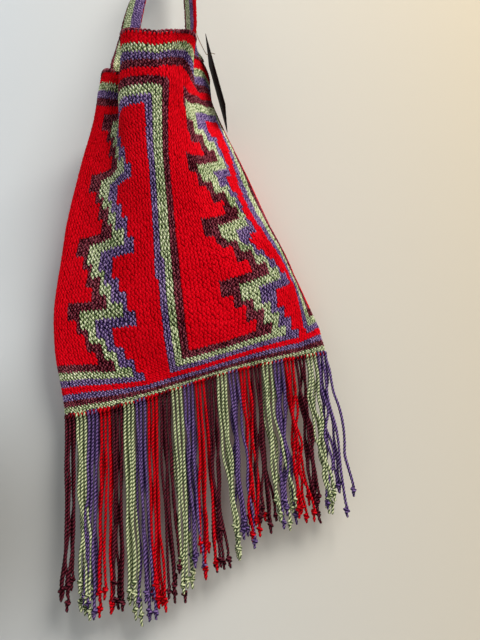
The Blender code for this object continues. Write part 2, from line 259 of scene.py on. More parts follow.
# Rows of one colour at the mouth and the hem; the rest outside the field is red
BANDS = {3: GREEN, 4: GREEN, 5: PURPLE, 6: PURPLE, 7: MAROON, 8: MAROON,
         75: PURPLE, 76: PURPLE, 77: MAROON, 78: MAROON, 79: GREEN, 80: GREEN, 81: RED}

# Wall, floor and lamps: the wall's colour goes from bluish to cream over a span to each
# side, a painted tint of cool light at the left and warm light at the right, and a dark
# patch low on its left is a painted shadow of the bag. A lamp is given as its place,
# what it faces, and its size, power and colour
WALL_Y = 0.056
WALL_SPAN = 0.45
# Painted tint of light on the wall: cool at the left, warm at the right
WALL_LEFT_COOL_LIT = (224, 236, 248)
WALL_RIGHT_WARM_LIT = (220, 209, 186)
# Painted shadow of the bag: a dark patch low on the wall's left
WALL_PAINTED_SHADOW = (118, 112, 100)
WALL_PAINTED_SHADOW_SHARE = 0.70
WALL_PAINTED_SHADOW_AT = (-0.30, WALL_Y, -0.745)
WALL_PAINTED_SHADOW_SIZE = (0.34, 1.0, 0.24)
WALL_TOP = 2
FLOOR_Z = -1.6
STAGE_HALF = 3
STAGE_DEPTH = 4
LAMPS = {
    "key": ((1.55, -1.55, 1.3), (0, 0, -0.45), 1.5, 80, (1.0, 0.94, 0.86)),
    "fill": ((-1.4, -1.5, -0.1), (0, 0, -0.5), 1.0, 1.5, (0.86, 0.93, 1.0)),
    "back": ((-0.7, 1.7, 0.3), (0, 0, -0.5), 0.8, 12, (1.0, 0.97, 0.93)),
}
WORLD_COLOUR = (0.80, 0.84, 0.90, 1.0)
WORLD_STRENGTH = 0.34

# Camera: how far it looks up, and its small roll as a cosine and a sine
CAMERA_AT = (0.045, -0.470, -0.700)
CAMERA_LENS = 27
CAMERA_SENSOR = 36
PITCH = math.radians(16.6)
ROLL = (0.996, 0.0885)


def srgb(colour):
    """Colour of 0 to 255 as linear values with an alpha of 1."""
    out = []
    for value in colour:
        v = value / 255
        out.append(v / 12.92 if v <= 0.04045 else ((v + 0.055) / 1.055) ** 2.4)
    return (*out, 1.0)


# Cloth surface

def hermite(p0, p1, m0, m1, span, t):
    """Cubic from p0 to p1 with slopes m0 and m1, at shares t of the span."""
    t = t[:, None]
    start = (2 * t**3 - 3 * t**2 + 1) * p0 + (t**3 - 2 * t**2 + t) * span * m0
    return start + (3 * t**2 - 2 * t**3) * p1 + (t**3 - t**2) * span * m1


def smooth_paths(knots, values, at, period=None):
    """Smooth curves through values at the knots, read at many places at once.

    values is (knots, 3) for one curve, or (knots, places, 3) for one to each place.
    """
    knots = np.array(knots, dtype=float)
    values = np.array(values, dtype=float)
    at = np.array(at, dtype=float)
    if period is not None:
        at = at % period
        knots = np.concatenate((knots[-2:] - period, knots, knots[:2] + period))
        values = np.concatenate((values[-2:], values, values[:2]))
    last = len(knots) - 1
    lower = np.maximum(np.arange(last + 1) - 1, 0)
    upper = np.minimum(np.arange(last + 1) + 1, last)
    gap = (knots[upper] - knots[lower]).reshape((-1,) + (1,) * (values.ndim - 1))
    slopes = (values[upper] - values[lower]) / gap
    i = np.clip(np.searchsorted(knots, at, side="right") - 1, 0, last - 1)
    span = knots[i + 1] - knots[i]
    t = (at - knots[i]) / span
    if values.ndim == 3:
        own = np.arange(len(at))
        picked = values[i, own], values[i + 1, own], slopes[i, own], slopes[i + 1, own]
    else:
        picked = values[i], values[i + 1], slopes[i], slopes[i + 1]
    return hermite(*picked, span[:, None], t)


def hem_points(stitch):
    """Closed hem: one line of folds, with the two walls a gap apart between the corners."""
    stitch = stitch % STITCHES_ROUND
    half = STITCHES_ROUND / 2
    from_corner = np.minimum(np.minimum(stitch, np.abs(half - stitch)), STITCHES_ROUND - stitch)
    depth = (CLOTH_THICKNESS + HEM_GAP / 2) * np.minimum(1.0, from_corner / HEM_CORNER_STITCHES)
    places = [(x * MM, 0.0, -MOUTH_DROP - drop * MM) for x, drop in HEM]
    points = smooth_paths(FOLD_STITCHES[:len(HEM)], places, np.minimum(stitch, STITCHES_ROUND - stitch))
    points[:, 1] = HEM_Y + np.where(stitch < half, -depth, depth)
    return points


def bag_points(stitch, row):
    """Outer face of the solid at places given by stitch and row."""
    rings = []
    for places in DRAPE.values():
        ring = [(x * MM, y * MM, -MOUTH_DROP - drop * MM) for x, y, drop in places]
        rings.append(smooth_paths(FOLD_STITCHES, ring, stitch, period=STITCHES_ROUND))
    rings.append(hem_points(stitch))
    return smooth_paths([*DRAPE, ROWS], np.array(rings), row)


def unit(vectors):
    return vectors / np.maximum(np.linalg.norm(vectors, axis=-1, keepdims=True), 1e-12)


def bag_normals(stitch, row):
    step = 0.4
    down = bag_points(stitch, row + step) - bag_points(stitch, row - step)
    along = bag_points(stitch + step, row) - bag_points(stitch - step, row)
    return unit(np.cross(down, along))


def relief(stitch, row):
    """Small unevenness of hand-made cloth: soft swells that fade at the rim and the hem."""
    rng = random.Random(5)
    height = np.zeros(len(stitch))
    for _ in range(SWELLS):
        turns = rng.randint(2, 11)
        rate = rng.uniform(-0.42, 0.42)
        phase = rng.uniform(0, 2 * math.pi)
        angle = 2 * math.pi * turns * stitch / STITCHES_ROUND + rate * row + phase
        height += rng.uniform(0.4, 1.0) * np.sin(angle)
    fade = np.clip(row / FADE_ROWS, 0, 1) * np.clip((ROWS - row) / FADE_ROWS, 0, 1)
    return SWELL_HEIGHT * height * fade


def squeezed(stitch, row):
    """Rows as they are pulled toward the hem, where they lie closer together."""
    pull = np.interp(stitch % STITCHES_ROUND, *zip(*PULL_ROUND))
    return row + pull * np.interp(row, *zip(*PULL_DOWN))


def slid(stitch, row):
    """Stitches as they are drawn sideways on the lip, read between the table's rows."""
    stitch = stitch % STITCHES_ROUND
    rows = [line for line, _ in SLIDE]
    lines = np.array([np.interp(stitch, SLIDE_STITCHES, shifts) for _, shifts in SLIDE])
    low = np.clip(np.searchsorted(rows, row, side="right") - 1, 0, len(rows) - 2)
    share = np.clip((row - np.take(rows, low)) / np.diff(rows)[low], 0, 1)
    own = np.arange(len(stitch))
    return stitch + lines[low, own] * (1 - share) + lines[low + 1, own] * share


def lifted(stitch, row):
    """How far the cloth lies from the solid's face: drawn in along the flank, raised at the lip."""
    stitch = stitch % STITCHES_ROUND
    rows = np.array(list(LIFT), dtype=float)
    lines = np.array([np.interp(stitch, LIFT_STITCHES, line) for line in LIFT.values()])
    held = np.clip(row, rows[0], rows[-1])
    i = np.clip(np.searchsorted(rows, held, side="right") - 1, 0, len(rows) - 2)
    t = (held - rows[i]) / (rows[i + 1] - rows[i])
    t = t * t * (3 - 2 * t)
    own = np.arange(len(row))
    out = np.zeros((len(row), 3))
    out[:, 0] = -np.interp(row, *zip(*DRAWN_DOWN)) * np.interp(stitch, *zip(*DRAWN_ROUND)) * MM
    out[:, 2] = (lines[i, own] * (1 - t) + lines[i + 1, own] * t) * MM
    return out


def cloth(stitch, row, lift=0.0):
    """Points at a height over the cloth's outer face."""
    stitch = np.asarray(stitch, dtype=float)
    row = squeezed(stitch, np.asarray(row, dtype=float))
    stitch = slid(stitch, row)
    height = relief(stitch, row) + lift
    return bag_points(stitch, row) + lifted(stitch, row) + bag_normals(stitch, row) * height[:, None]


# Pattern of colours, stitch by stitch

def motif_column(stitch, row):
    """Place along the motif, in its own columns: the cloth's pull bends its columns in the folds."""
    first = EVEN_LOW[0][1]
    stitch = (np.asarray(stitch, dtype=float) + 0.5 - first) % STITCHES_ROUND + first
    rows = np.array(list(BENT_ROWS), dtype=float)
    lines = np.array(list(BENT_ROWS.values()), dtype=float)
    knots = np.stack([np.interp(row, rows, lines[:, k]) for k in range(lines.shape[1])], axis=-1)
    fixed_low = np.broadcast_to(np.array(EVEN_LOW)[:, 1], (*stitch.shape, len(EVEN_LOW)))
    fixed_high = np.broadcast_to(np.array(EVEN_HIGH)[:, 1], (*stitch.shape, len(EVEN_HIGH)))
    at = np.concatenate((fixed_low, knots, fixed_high), axis=-1)
    motif = np.array([m for m, _ in EVEN_LOW] + list(BENT_COLUMNS) + [m for m, _ in EVEN_HIGH])
    out = np.zeros(stitch.shape)
    for k in range(len(motif) - 1):
        inside = (stitch >= at[..., k]) & (stitch < at[..., k + 1])
        share = (stitch - at[..., k]) / np.maximum(at[..., k + 1] - at[..., k], 1e-6)
        out = np.where(inside, motif[k] + share * (motif[k + 1] - motif[k]), out)
    return out % MOTIF_COLUMNS


def pattern(stitch, row):
    """Colour index at a stitch and row: bands, the stepped zigzag field and bands again."""
    row = np.asarray(row)
    c = motif_column(stitch, row)
    layers = np.zeros(c.shape, dtype=int)
    for k in range(LAYERS):
        top = FIELD_TOP + LAYER_ROWS * k
        stair = STAIR_COLUMN + LAYER_COLUMNS * k + STEP_COLUMNS * np.floor(((row - top) % STAIR_ROWS) / STEP_ROWS)
        bar = BAR_COLUMNS - BAR_COLUMNS * k / (LAYERS - 1)
        layers += (row >= top) & ((c < bar) | (c >= stair) | (row >= FIELD_FOOT + LAYER_ROWS * k))
    colour = np.array(LAYER_COLOURS)[layers]
    for line, index in BANDS.items():
        colour = np.where(row == line, index, colour)
    return colour


# Meshes from arrays

def added(name, data):
    obj = bpy.data.objects.new(name, data)
    bpy.context.scene.collection.objects.link(obj)
    return obj


def mesh_object(name, verts, faces, materials, face_material=None, uvs=None):
    """Object from arrays: verts (n, 3), faces (m, 4), where a face may repeat its last corner."""
    mesh = bpy.data.meshes.new(name)
    verts = np.asarray(verts, dtype=np.float32).reshape(-1, 3)
    faces = np.asarray(faces, dtype=np.int32).reshape(-1, 4)
    mesh.vertices.add(len(verts))
    mesh.vertices.foreach_set("co", verts.ravel())
    mesh.loops.add(faces.size)
    mesh.loops.foreach_set("vertex_index", faces.ravel())
    mesh.polygons.add(len(faces))
    mesh.polygons.foreach_set("loop_start", np.arange(0, faces.size, 4, dtype=np.int32))
    mesh.polygons.foreach_set("use_smooth", np.ones(len(faces), dtype=bool))
    for mat in materials:
        mesh.materials.append(mat)
    if face_material is not None:
        mesh.polygons.foreach_set("material_index", np.asarray(face_material, dtype=np.int32))
    if uvs is not None:
        layer = mesh.uv_layers.new(name="yarn")
        corners = np.asarray(uvs, dtype=np.float32)[faces]
        # Where a tube closes, the yarn coordinate runs on instead of back
        seam = np.ptp(corners[..., 0], axis=1) > 1.1
        corners[..., 0] += 2 * (seam[:, None] & (corners[..., 0] < 0.5))
        layer.data.foreach_set("uv", corners.ravel())
    mesh.update(calc_edges=True)
    mesh.validate()
    return added(name, mesh)


def grid(across, down):
    """Columns and rows of a sheet's cells, as two flat arrays."""
    cols, rows = np.meshgrid(np.arange(across), np.arange(down))
    return cols.ravel(), rows.ravel()


def joined(parts):
    """One set of verts, faces and yarn coordinates from several."""
    verts, faces, coords, base = [], [], [], 0
    for v, f, c in parts:
        verts.append(v)
        faces.append(f + base)
        coords.append(c)
        base += len(v)
    return np.concatenate(verts), np.concatenate(faces), np.concatenate(coords)


# One stitch is half a tube laid on a surface: rings along it, points across each
RING_AT = np.array([-1.0, -0.5, 0.0, 0.5, 1.0])
RING_WIDTH = np.array([0.3, 0.84, 1.0, 0.84, 0.35])
RING_DROP = np.array([0.35, 0.08, 0.0, 0.15, 0.6]) * MM
ACROSS = np.array([-1.0, -0.42, 0.42, 1.0])
ACROSS_DROP = np.array([1.25, 0.12, 0.12, 1.25]) * MM


def stroke_mesh(place, u, v, half, side, lift, jitter, flip=False, depth=1.0):
    """Strokes of yarn on a surface place(u, v, lift): returns verts, faces and yarn coordinates."""
    count = len(u)
    rng = np.random.default_rng(jitter)
    angle = rng.normal(0, UNEVEN_SLANT, count)
    stretch = 1 + rng.normal(0, UNEVEN_SIZE, count)
    fat = 1 + rng.normal(0, UNEVEN_SIZE, count)
    u = u + rng.normal(0, UNEVEN_PLACE, count)
    v = v + rng.normal(0, UNEVEN_PLACE, count)
    along_u = half[0] * stretch - side[0] * angle
    along_v = half[1] * stretch - side[1] * angle
    rings, points = len(RING_AT), len(ACROSS)
    width = RING_WIDTH[None, :, None] * ACROSS[None, None, :] * fat[:, None, None]
    uu = u[:, None, None] + along_u[:, None, None] * RING_AT[None, :, None] + side[0] * width
    vv = v[:, None, None] + along_v[:, None, None] * RING_AT[None, :, None] + side[1] * width
    rise = rng.normal(0, UNEVEN_RISE, count)[:, None, None]
    drop = depth * (RING_DROP[None, :, None] + ACROSS_DROP[None, None, :])
    height = lift + rise * depth - drop + np.zeros_like(uu)
    verts = place(uu.ravel(), vv.ravel(), height.ravel())
    ids = np.arange(rings * points).reshape(rings, points)
    quads = np.stack((ids[:-1, :-1], ids[1:, :-1], ids[1:, 1:], ids[:-1, 1:]), axis=-1).reshape(-1, 4)
    if flip:
        quads = quads[:, ::-1]
    faces = (quads[None] + (np.arange(count) * rings * points)[:, None, None]).reshape(-1, 4)
    start = rng.uniform(0, 50, count)
    coords = np.zeros((count, rings, points, 2))
    coords[..., 0] = (ACROSS * 0.5 + 0.5)[None, None, :]
    coords[..., 1] = start[:, None, None] + RING_AT[None, :, None]
    return verts, faces, coords.reshape(-1, 2)


# Materials

def material(name):
    mat = bpy.data.materials.new(name)
    mat.use_nodes = True
    return mat, mat.node_tree.nodes, mat.node_tree.links


def set_inputs(node, **values):
    """Sets a node's inputs by their names, written with _ for a space."""
    for key, value in values.items():
        node.inputs[key.replace("_", " ")].default_value = value
    return node


def add_node(nodes, kind, **values):
    return set_inputs(nodes.new("ShaderNode" + kind), **values)


def add_math(nodes, operation):
    made = nodes.new("ShaderNodeMath")
    made.operation = operation
    return made


def colour_ramp(nodes, links, factor, *stops):
    """Ramp over a factor, from stops of place and colour: both ends first, then what lies between."""
    ramp = nodes.new("ShaderNodeValToRGB")
    elements = ramp.color_ramp.elements
    for index, (place, colour) in enumerate(stops):
        element = elements[index] if index < 2 else elements.new(place)
        element.position = place
        element.color = srgb(colour)
    links.new(factor, ramp.inputs[0])
    return ramp.outputs[0]


def add_bump(nodes, links, shader, height, strength, distance):
    bump = add_node(nodes, "Bump", Strength=strength, Distance=distance)
    links.new(height, bump.inputs["Height"])
    links.new(bump.outputs[0], shader.inputs["Normal"])


def wool(name, colours, ply_painted_shade=0.22, gain=1.0, twisted=False):
    """Wool yarn: colour that drifts from stitch to stitch, plies painted as darker grooves and lighter crests, fibres
    and a soft sheen.

    The plies of a twisted strand and their painted shade follow its own grooves.
    """
    mat, nodes, links = material(name)
    shader = set_inputs(nodes["Principled BSDF"], Roughness=0.92, Specular_IOR_Level=0.04,
                        Sheen_Weight=0.02, Sheen_Roughness=0.45)
    coord = add_node(nodes, "TexCoord")
    total = None

    def add(socket, weight):
        """Adds a weighted socket to the total, which stays about a half."""
        nonlocal total
        part = add_math(nodes, "MULTIPLY_ADD")
        links.new(socket, part.inputs[0])
        part.inputs[1].default_value = weight
        if total is None:
            part.inputs[2].default_value = 0.5 - weight * 0.5
        else:
            shift = add_math(nodes, "ADD")
            links.new(total, shift.inputs[0])
            shift.inputs[1].default_value = -weight * 0.5
            links.new(shift.outputs[0], part.inputs[2])
        total = part.outputs[0]

    # Drift from stitch to stitch, tufts and fibres
    for scale, weight in ((32, 0.55), (270, 1.1), (1900, 0.9)):
        noise = add_node(nodes, "TexNoise", Scale=scale, Detail=2)
        links.new(coord.outputs["Object"], noise.inputs["Vector"])
        add(noise.outputs["Fac"], weight * gain)
    # Plies: a wave across the yarn that paints shade into the grooves and light onto the crests
    split = add_node(nodes, "SeparateXYZ")
    links.new(coord.outputs["UV"], split.inputs[0])
    slant = add_math(nodes, "MULTIPLY_ADD")
    links.new(split.outputs["X"], slant.inputs[0])
    slant.inputs[1].default_value = 1.0 if twisted else 0.6
    if not twisted:
        links.new(split.outputs["Y"], slant.inputs[2])
    wave = add_node(nodes, "TexWave", Scale=0.314, Phase_Offset=math.pi if twisted else 0.0)
    wave.bands_direction = "X"
    join = add_node(nodes, "CombineXYZ")
    links.new(slant.outputs[0], join.inputs["X"])
    links.new(join.outputs[0], wave.inputs["Vector"])
    add(wave.outputs["Fac"], ply_painted_shade)
    # Dark and light ends: painted shade and painted highlight, spread with the yarn's own tone
    dark, middle, light = colours
    base = colour_ramp(nodes, links, total, (0.22, dark), (0.82, light), (0.52, middle))
    links.new(base, shader.inputs["Base Color"])
    add_bump(nodes, links, shader, noise.outputs["Fac"], 0.5, 0.3 * MM)
    return mat


def card_material():
    """Black card: paper fibres in faint greys and a dull surface."""
    mat, nodes, links = material("black_card")
    shader = set_inputs(nodes["Principled BSDF"], Roughness=0.95, Specular_IOR_Level=0.03)
    coord = add_node(nodes, "TexCoord")
    noise = add_node(nodes, "TexNoise", Scale=900, Detail=5)
    links.new(coord.outputs["Object"], noise.inputs["Vector"])
    base = colour_ramp(nodes, links, noise.outputs["Fac"], (0.3, (13, 3, 5)), (0.75, (34, 15, 18)))
    links.new(base, shader.inputs["Base Color"])
    add_bump(nodes, links, shader, noise.outputs["Fac"], 0.25, 0.05 * MM)
    return mat


def wall_material():
    """Pale wall with a painted tint of light, bluish at the left and cream at the right, that doesn't hide a view from
    behind.

    It also lets the light from behind through, and carries a painted shadow low on its left.
    """
    mat, nodes, links = material("wall")
    nodes.clear()
    out = add_node(nodes, "OutputMaterial")
    diffuse = add_node(nodes, "BsdfDiffuse")
    clear = add_node(nodes, "BsdfTransparent")
    geometry = add_node(nodes, "NewGeometry")
    rays = add_node(nodes, "LightPath")
    passing = add_math(nodes, "MAXIMUM")
    links.new(geometry.outputs["Backfacing"], passing.inputs[0])
    links.new(rays.outputs["Is Shadow Ray"], passing.inputs[1])
    coord = add_node(nodes, "TexCoord")
    split = add_node(nodes, "SeparateXYZ")
    links.new(coord.outputs["Object"], split.inputs[0])
    # Painted tint of light: bluish where cool light falls at the left, cream where warm light falls at the right
    spread = add_node(nodes, "MapRange", From_Min=-WALL_SPAN, From_Max=WALL_SPAN)
    links.new(split.outputs["X"], spread.inputs["Value"])
    pale = colour_ramp(nodes, links, spread.outputs["Result"], (0.0, WALL_LEFT_COOL_LIT), (1.0, WALL_RIGHT_WARM_LIT))
    # Painted shadow: a dark patch low at the left that stands in for the bag's shadow on the wall
    shift = add_node(nodes, "Mapping", Location=WALL_PAINTED_SHADOW_AT, Scale=WALL_PAINTED_SHADOW_SIZE)
    shift.vector_type = "TEXTURE"
    links.new(coord.outputs["Object"], shift.inputs["Vector"])
    painted_shadow = add_node(nodes, "TexGradient")
    painted_shadow.gradient_type = "SPHERICAL"
    links.new(shift.outputs[0], painted_shadow.inputs["Vector"])
    soft = add_node(nodes, "MapRange", To_Max=WALL_PAINTED_SHADOW_SHARE)
    soft.interpolation_type = "SMOOTHSTEP"
    links.new(painted_shadow.outputs["Fac"], soft.inputs["Value"])
    shade = add_node(nodes, "Mix")
    shade.data_type = "RGBA"
    links.new(soft.outputs["Result"], shade.inputs["Factor"])
    links.new(pale, shade.inputs["A"])
    shade.inputs["B"].default_value = srgb(WALL_PAINTED_SHADOW)
    links.new(shade.outputs["Result"], diffuse.inputs["Color"])
    mix = add_node(nodes, "MixShader")
    links.new(passing.outputs[0], mix.inputs[0])
    links.new(diffuse.outputs[0], mix.inputs[1])
    links.new(clear.outputs[0], mix.inputs[2])
    links.new(mix.outputs[0], out.inputs["Surface"])
    return mat


def floor_material():
    mat, nodes, _ = material("floor")
    set_inputs(nodes["Principled BSDF"], Base_Color=srgb((216, 212, 204)), Roughness=0.8)
    return mat


def scaled(colours, factor):
    return tuple(tuple(c * factor for c in colour) for colour in colours)


# Strap surface

def strap_ends(facets, across):
    """The strap's seat on the rim and a place upright over it.

    The seat lies between two facets, counted round the tube, one to a bunch.
    """
    back, front = facets
    stitch = STITCHES_ROUND / 2 * (back + (across + 0.5) * (front - back)) / BUNCHES
    seat = bag_points(stitch, np.zeros(len(across))) + np.array((0.0, 0.0, STRAP_SEAT))
    return [seat, seat + np.array((0.0, 0.0, STRAP_UPRIGHT))]


def strap_lines(across):
    """Places along the strap, end to end, for each share across it from -0.5 to 0.5."""
    across = np.asarray(across, dtype=float)
    lines = strap_ends(STRAP_LEFT_FACETS, across)
    half = len(STRAP_PATH) // 2
    a = across[:, None]
    for index, (x, y, drop, turn) in enumerate(STRAP_PATH):
        angle = math.radians(turn)
        side = np.array((math.cos(angle), math.sin(angle), 0.0))
        outward = np.array((math.sin(angle), -math.cos(angle), 0.0))
        if index == half:
            lines.append(a * np.array((0.0, -STRAP_WIDTH, 0.0)) + np.array((0.0, 0.0, STRAP_THICKNESS)))
        if index >= half:
            outward = -outward * STRAP_FLAT
        share = drop * MM / STRAP_PATH_DROP
        centre = np.array((x * MM, y * MM, -share * MOUTH_DROP))
        grown = min(1.0, share * 3)
        curl = STRAP_CURL * (1 - 4 * a**2) * grown
        turned = np.maximum(a - STRAP_TURNED, 0.0) * STRAP_WIDTH * grown * (index < half)
        tuck = np.clip((a - STRAP_TURNED + 0.01) / STRAP_TURN_WIDTH, 0, 1) * grown * (index < half)
        back = tuck * tuck * (3 - 2 * tuck) * STRAP_TUCK + 0.35 * turned
        lines.append(centre + side * (a * STRAP_WIDTH - 2.0 * turned) + outward * (curl - back))
    return lines + strap_ends(STRAP_RIGHT_FACETS, across)[::-1]


def strap_knots():
    """Shares of the strap's length at which its lines lie."""
    middle = [p[0] for p in strap_lines([0.0])]
    steps = [float(np.linalg.norm(b - a)) for a, b in zip(middle, middle[1:])]
    return [sum(steps[:i]) / sum(steps) for i in range(len(middle))]


def strap_points(across, along):
    return smooth_paths(strap_knots(), np.array(strap_lines(across)), along)


def strap_surface(u, v, lift):
    """Points over the strap: u in rows across it, v in stitches along it."""
    across, along = np.asarray(u) / STRAP_ROWS - 0.5, np.asarray(v) / STRAP_STITCHES
    step_a, step_b = 0.02, 0.002
    wide = strap_points(across + step_a, along) - strap_points(across - step_a, along)
    run = strap_points(across, along + step_b) - strap_points(across, along - step_b)
    return strap_points(across, along) + unit(np.cross(wide, run)) * np.asarray(lift)[:, None]


# Swept cords

def through(points, spacing):
    """Points at an even spacing along a smooth curve through these."""
    points = np.array(points, dtype=float)
    steps = np.linalg.norm(np.diff(points, axis=0), axis=1)
    knots = np.concatenate(([0.0], np.cumsum(np.maximum(steps, 1e-6) ** 0.5)))
    fine = smooth_paths(knots, points, np.linspace(0, knots[-1], len(points) * 12))
    run = np.concatenate(([0.0], np.cumsum(np.linalg.norm(np.diff(fine, axis=0), axis=1))))
    count = max(4, int(round(run[-1] / spacing)) + 1)
    at = np.linspace(0, run[-1], count)
    return np.stack([np.interp(at, run, fine[:, k]) for k in range(3)], axis=1)


def sweep(points, radii, section, turn, phase, spacing):
    """Twisted tube of a section, given as radii at even angles, along points."""
    tangents = unit(np.gradient(points, axis=0))
    side = np.cross(tangents[0], (0.31, 0.87, 0.22))
    sides = []
    for tangent in tangents:
        side = side - tangent * np.dot(side, tangent)
        side = side / np.linalg.norm(side)
        sides.append(side)
    sides = np.array(sides)
    others = np.cross(tangents, sides)
    n, m = len(points), len(section)
    twist = phase + 2 * math.pi * spacing * np.arange(n) / turn
    angles = twist[:, None] + 2 * math.pi * np.arange(m)[None, :] / m
    reach = np.asarray(radii)[:, None] * np.asarray(section)[None, :]
    ring = sides[:, None] * (np.cos(angles) * reach)[..., None]
    ring = ring + others[:, None] * (np.sin(angles) * reach)[..., None]
    verts = (points[:, None] + ring).reshape(-1, 3)
    ids = np.arange(n * m).reshape(n, m)
    right = np.roll(ids, -1, axis=1)
    quads = np.stack((ids[:-1], right[:-1], right[1:], ids[1:]), axis=-1).reshape(-1, 4)
    caps = []
    for ring_ids, order in ((ids[0], -1), (ids[-1], 1)):
        loop = list(ring_ids[::order])
        for k in range(1, m - 2, 2):
            caps.append((loop[0], loop[k], loop[k + 1], loop[k + 2]))
    faces = np.concatenate((quads, np.array(caps).reshape(-1, 4)))
    coords = np.zeros((n, m, 2))
    coords[..., 0] = (np.arange(m) * 2 / m)[None, :]
    coords[..., 1] = (np.arange(n) * spacing / turn)[:, None]
    return verts, faces, coords.reshape(-1, 2)


def knot_points(centre, turn, rng, tail):
    """An overhand knot as a route: down the core, once round it and out below."""
    route = [(-0.2, 0.2, 5.0), (-0.6, 0.3, 2.2), (-0.7, 0.2, -0.4), (0.2, 0.4, -2.2)]
    wrap, rise, size = 9, 3.0, rng.uniform(1.55, 1.9)
    for i in range(wrap):
        angle = math.radians(395 * i / (wrap - 1))
        route.append((size * math.cos(angle), size * math.sin(angle), -2.0 + rise * i / (wrap - 1)))
    lean = rng.uniform(-0.25, 0.25)
    route += [(0.8, -0.2, 0.9), (0.6, -0.4, -1.6), (0.5, -0.2, -KNOT_REACH)]
    for share, play in ((0.5, 0.4), (1.0, 1.0)):
        route.append((0.5 + lean * tail * share, rng.uniform(-play, play), -KNOT_REACH - tail * share))
    c, s = math.cos(turn), math.sin(turn)
    return [centre + np.array((c * x - s * y, s * x + c * y, z)) * MM for x, y, z in route]


def cord_route(stitch, back, lane, sway, end_z, own):
    """Route of one strand: out of the cloth over the red edge, down and into its knot.

    own gives the strand's own random waves, which are looser toward the right.
    """
    column = np.array([(STITCHES_ROUND - stitch) % STITCHES_ROUND if back else stitch])
    route = []
    for up, lift in ((1.5, -2.4), (1.0, 0.1), (0.5, 1.15), (0.0, 0.7)):
        route.append(cloth(column, np.array([ROWS - up]), lift * MM)[0])
    hem = bag_points(column, np.array([float(ROWS)]))[0]
    y = HEM_Y + (LAYER_HALF_PITCH if back else -LAYER_HALF_PITCH)
    top = hem[2] - 5 * MM
    tail = own.uniform(*CORD_TAIL)
    loose = 1 + LOOSER * max(0.0, min(1.0, (hem[0] - LOOSE_FROM) / LOOSE_SPAN))
    stray = STRAY if own.random() < STRAY_SHARE else 1.0
    drift = own.uniform(-CORD_DRIFT, CORD_DRIFT) * loose * stray
    bend = own.uniform(-CORD_BEND, CORD_BEND) * loose
    knot_z = end_z + (KNOT_REACH + tail) * MM
    waves = [(own.uniform(0.2, 0.8), own.uniform(2, 7), own.uniform(0, 6.28)) for _ in range(3)]
    deep = [(own.uniform(0.2, 0.9), own.uniform(2, 7), own.uniform(0, 6.28)) for _ in range(2)]
    for i in range(CORD_STEPS):
        t = i / (CORD_STEPS - 1)
        grow = min(1.0, 0.25 + 1.6 * t) * min(1.0, t * 8)
        gather = lane * (-0.10 * math.sin(math.pi * min(1.0, t * 1.1)) + 0.05 * t)
        x = hem[0] + sway(t) + gather * MM * grow
        x += (drift * t**1.6 + bend * math.sin(math.pi * t)) * MM
        x += sum(a * math.sin(w * t * 3 + p) for a, w, p in waves) * loose * MM * grow
        depth = y + sum(a * math.sin(w * t * 3 + p) for a, w, p in deep) * MM * grow
        route.append(np.array((x, depth, top + (knot_z + 8 * MM - top) * t)))
    centre = np.array((route[-1][0], route[-1][1], knot_z))
    return route + knot_points(centre, own.uniform(0, 6.28), own, tail)


# Build

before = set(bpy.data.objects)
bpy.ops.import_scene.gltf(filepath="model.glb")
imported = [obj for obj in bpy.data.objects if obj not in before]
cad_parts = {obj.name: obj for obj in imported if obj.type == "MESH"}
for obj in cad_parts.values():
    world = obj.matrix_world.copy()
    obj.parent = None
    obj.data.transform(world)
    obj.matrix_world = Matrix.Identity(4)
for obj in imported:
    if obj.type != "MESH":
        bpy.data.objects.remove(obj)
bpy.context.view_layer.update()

yarns = [wool("wool_" + name, YARNS[name], ply_painted_shade=PLY_PAINTED_SHADE[name], gain=GAIN[name]) for name in NAMES]
# Darker copies of the yarns: painted shade for the cloth under the stitches
painted_shade_cores = [wool("painted_shade_core_" + name, scaled(YARNS[name], CORE_PAINTED_SHADE[name]), ply_painted_shade=0.0, gain=GAIN[name]) for name in NAMES]
strands = {name: wool("strand_" + name, STRANDS[name], ply_painted_shade=1.05, gain=0.5, twisted=True) for name in NAMES}


def coloured_strokes(name, sheets, u, v, colour, half, side, seed):
    """One object of strokes in the four yarns, on sheets given as their place, lift and flip."""
    parts, index = [], []
    for place, lift, flip in sheets:
        for k in range(len(NAMES)):
            mask = colour == k
            parts.append(stroke_mesh(place, u[mask], v[mask], half, side, lift, seed + k, flip=flip))
            index.append(np.full(len(parts[-1][1]), k))
    verts, faces, coords = joined(parts)
    return mesh_object(name, verts, faces, yarns, np.concatenate(index), coords)


def build_shell():
    """Closed cloth under the stitches, coloured cell by cell in its yarn darkened as painted shade, which shows
    between them.
    """
    cols, rows = grid(STITCHES_ROUND, ROWS + 1)
    count = cols.size
    outer = cloth(cols, rows, np.full(count, SHELL_OUTER))
    inner = cloth(cols, rows, np.full(count, SHELL_INNER))
    ids = np.arange(count).reshape(ROWS + 1, STITCHES_ROUND)
    right = np.roll(ids, -1, axis=1)
    faces = np.stack((ids[:-1], ids[1:], right[1:], right[:-1]), axis=-1).reshape(-1, 4)
    colours = pattern(*grid(STITCHES_ROUND, ROWS))
    rim = np.stack((ids[0], right[0], right[0] + count, ids[0] + count), axis=-1)
    strips = []
    hem = ids[-1]
    for i in range(STITCHES_ROUND // 2):
        j, k = (STITCHES_ROUND - i) % STITCHES_ROUND, STITCHES_ROUND - i - 1
        strips.append((hem[i], hem[j], hem[k], hem[i + 1]))
        strips.append((hem[i + 1] + count, hem[k] + count, hem[j] + count, hem[i] + count))
    faces = np.concatenate((faces, faces[:, ::-1] + count, rim, np.array(strips)))
    index = np.concatenate((colours, colours, np.full(len(rim), MAROON), np.full(len(strips), RED)))
    return mesh_object("bag_cloth", np.concatenate((outer, inner)), faces, painted_shade_cores, index)


